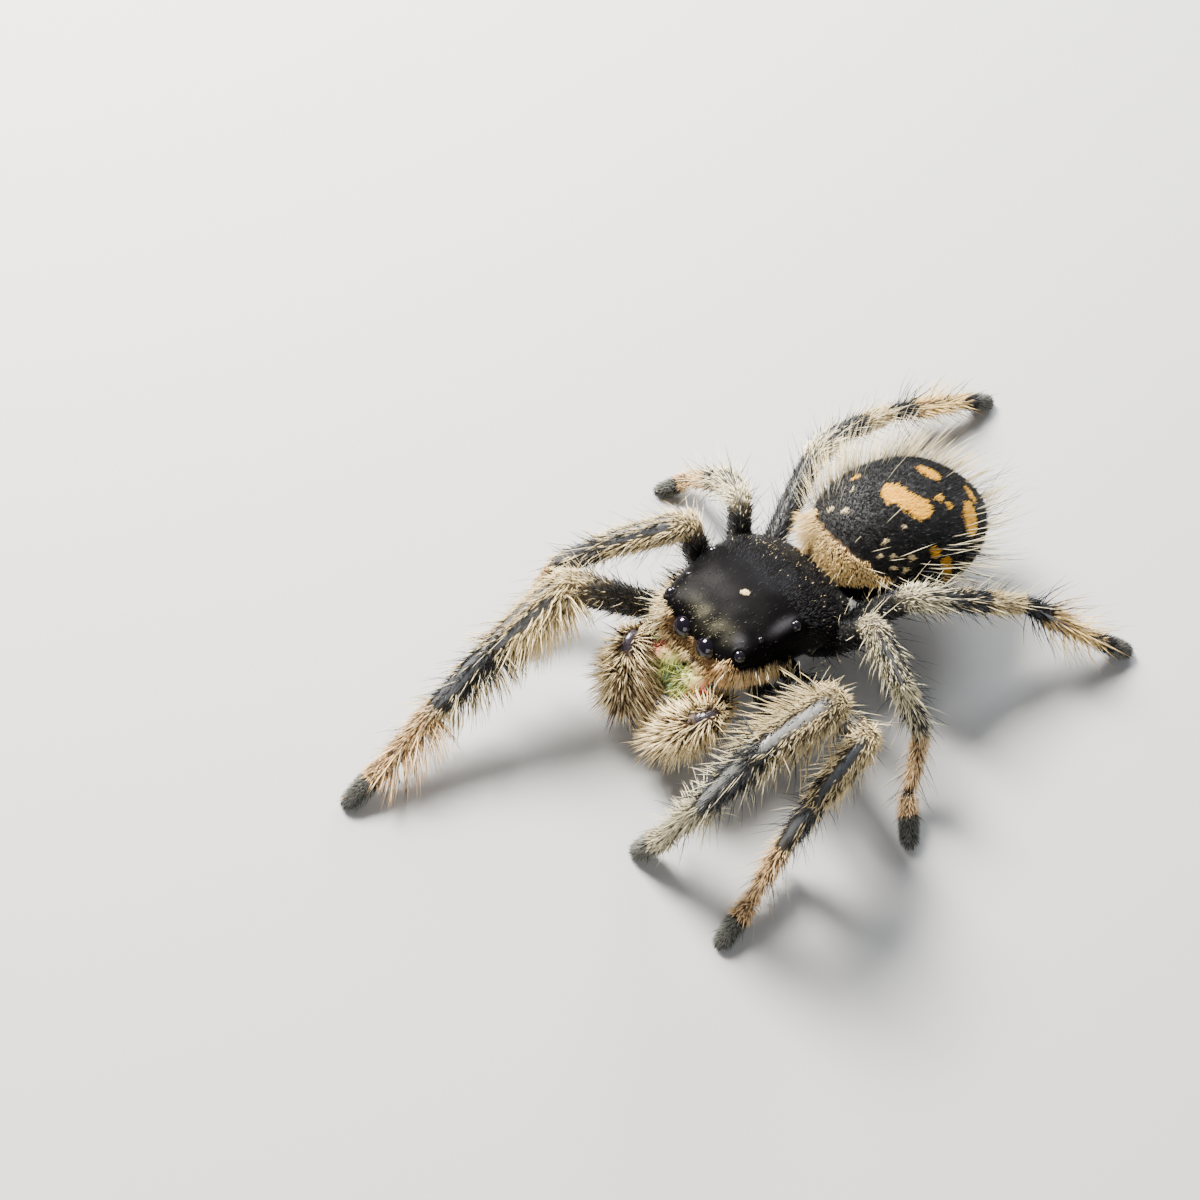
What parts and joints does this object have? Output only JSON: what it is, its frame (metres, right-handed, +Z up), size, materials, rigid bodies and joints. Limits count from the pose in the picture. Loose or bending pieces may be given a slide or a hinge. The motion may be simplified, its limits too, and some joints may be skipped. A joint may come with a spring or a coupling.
{
  "type": "regal jumping spider",
  "caption": "Life-size jumping spider standing on all its feet, left foreleg arched high, right foreleg reaching ahead, furry black abdomen with peach spots.",
  "frame": {"origin": "on the floor, under the middle of the box round the whole spider with its legs", "axes": "+Z up, +Y towards the spider's rear, so that it faces -Y, and +X towards its left side"},
  "size_m": [0.0158, 0.0294, 0.0069],
  "materials": {
    "shell": "black shell plate with a soft sheen, satin",
    "eye": "polished black",
    "jaw": "iridescent green with copper sides, glossy",
    "palp": "stiff cream hair",
    "abdomen": "velvety black hair with a peach band and spots",
    "leg": "black, grey and cream hair"
  },
  "bodies": {
    "root": {"abdomen": "abdomen", "carapace": "shell", "chelicera_l": "jaw", "chelicera_r": "jaw", "eye_front_middle_l": "eye", "eye_front_middle_r": "eye", "eye_front_side_l": "eye", "eye_front_side_r": "eye", "eye_rear_l": "eye", "eye_rear_r": "eye", "eye_small_l": "eye", "eye_small_r": "eye", "leg_l1_femur": "leg", "leg_l1_metatarsus": "leg", "leg_l1_patella": "leg", "leg_l1_tarsus": "leg", "leg_l1_tibia": "leg", "leg_l2_femur": "leg", "leg_l2_metatarsus": "leg", "leg_l2_patella": "leg", "leg_l2_tarsus": "leg", "leg_l2_tibia": "leg", "leg_l3_femur": "leg", "leg_l3_metatarsus": "leg", "leg_l3_patella": "leg", "leg_l3_tarsus": "leg", "leg_l3_tibia": "leg", "leg_l4_femur": "leg", "leg_l4_metatarsus": "leg", "leg_l4_patella": "leg", "leg_l4_tarsus": "leg", "leg_l4_tibia": "leg", "leg_r1_femur": "leg", "leg_r1_metatarsus": "leg", "leg_r1_patella": "leg", "leg_r1_tarsus": "leg", "leg_r1_tibia": "leg", "leg_r2_femur": "leg", "leg_r2_metatarsus": "leg", "leg_r2_patella": "leg", "leg_r2_tarsus": "leg", "leg_r2_tibia": "leg", "leg_r3_femur": "leg", "leg_r3_metatarsus": "leg", "leg_r3_patella": "leg", "leg_r3_tarsus": "leg", "leg_r3_tibia": "leg", "leg_r4_femur": "leg", "leg_r4_metatarsus": "leg", "leg_r4_patella": "leg", "leg_r4_tarsus": "leg", "leg_r4_tibia": "leg", "palp_l_lower": "palp", "palp_l_upper": "palp", "palp_r_lower": "palp", "palp_r_upper": "palp", "spinnerets": "abdomen", "sternum": "shell", "waist": "shell"}
  },
  "joints": []
}
